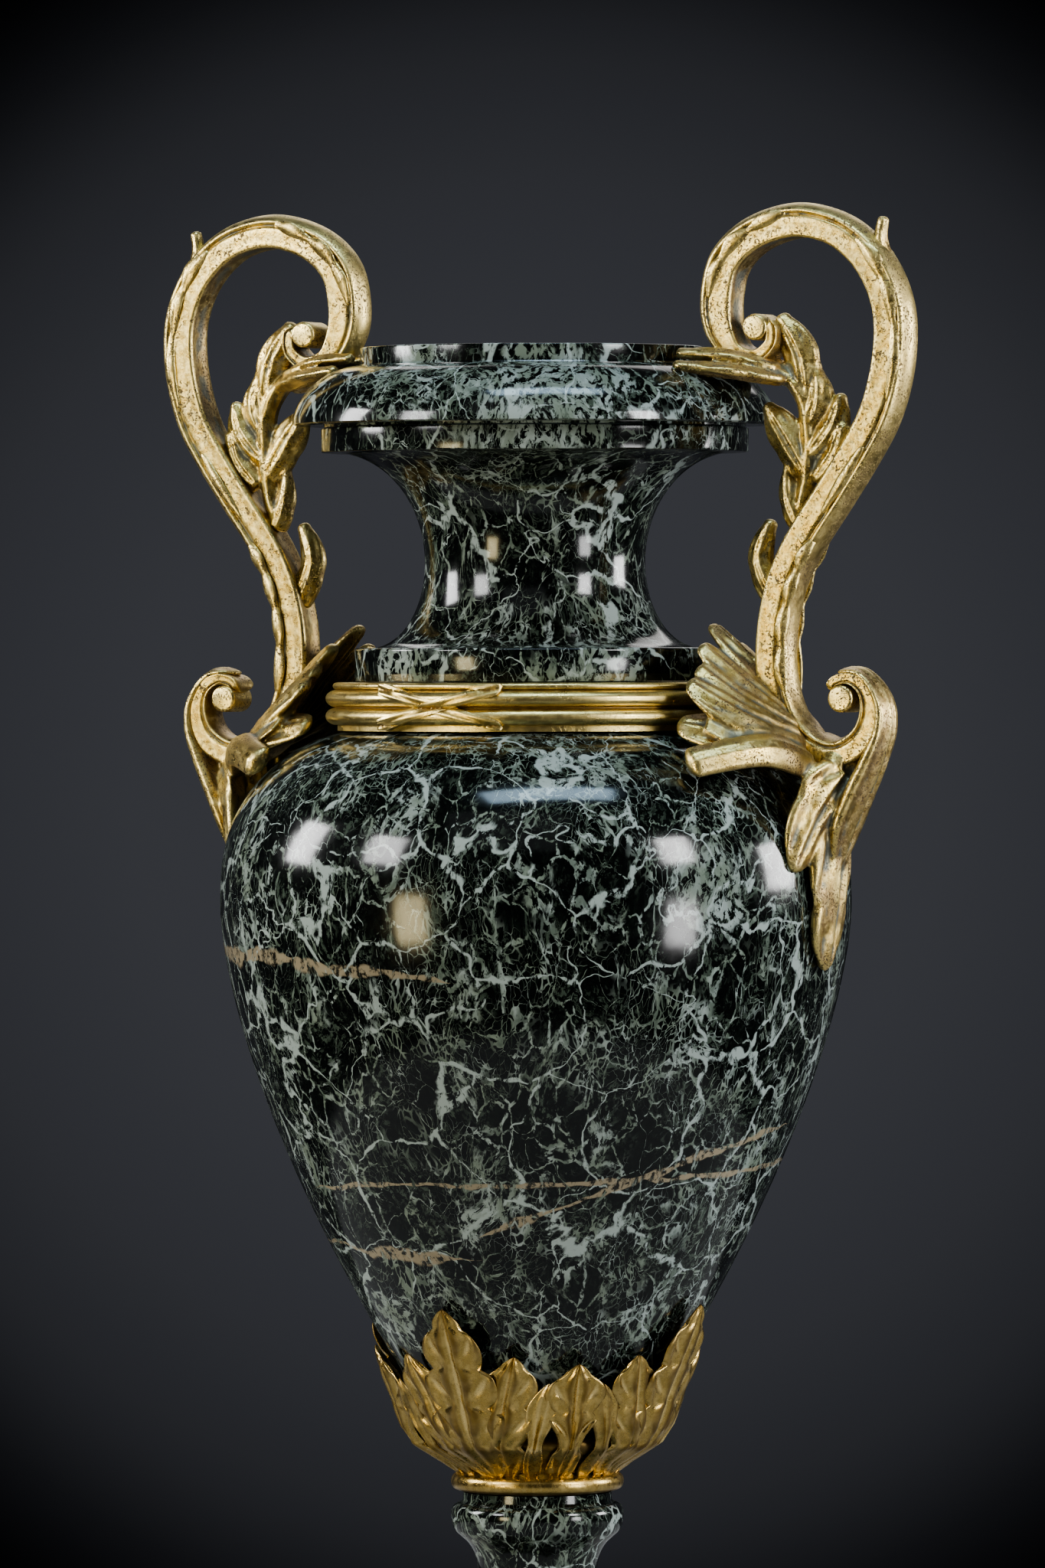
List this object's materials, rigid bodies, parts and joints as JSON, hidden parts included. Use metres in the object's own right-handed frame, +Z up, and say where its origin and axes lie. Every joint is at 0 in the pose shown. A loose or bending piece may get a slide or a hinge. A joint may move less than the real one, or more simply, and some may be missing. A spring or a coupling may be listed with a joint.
{
  "type": "mantel urn",
  "caption": "Hollow baluster-shaped marble urn with a tall neck, rolled rim, reeded metal belt, leaf cup, turned foot on a square plinth and two looped scroll handles.",
  "frame": {"origin": "centre of the plinth's underside, on the urn's turned axis", "axes": "+Z up along the turned axis, +X out through the middle of one handle, -Y towards the front, where the belt's ribbons cross"},
  "size_m": [0.228, 0.172, 0.4456],
  "materials": {
    "marble": "polished, near-black green with pale green-grey, bluish white and tan veins",
    "gilt_bronze": "old gilding, satin, with dark pits and grey-green recesses"
  },
  "bodies": {
    "root": {"plinth": "marble", "foot_ring": "gilt_bronze", "stem": "marble", "leaf_cup": "gilt_bronze", "body": "marble", "belt": "gilt_bronze", "neck": "marble", "rim": "marble", "handle_right": "gilt_bronze", "handle_left": "gilt_bronze"}
  },
  "joints": []
}
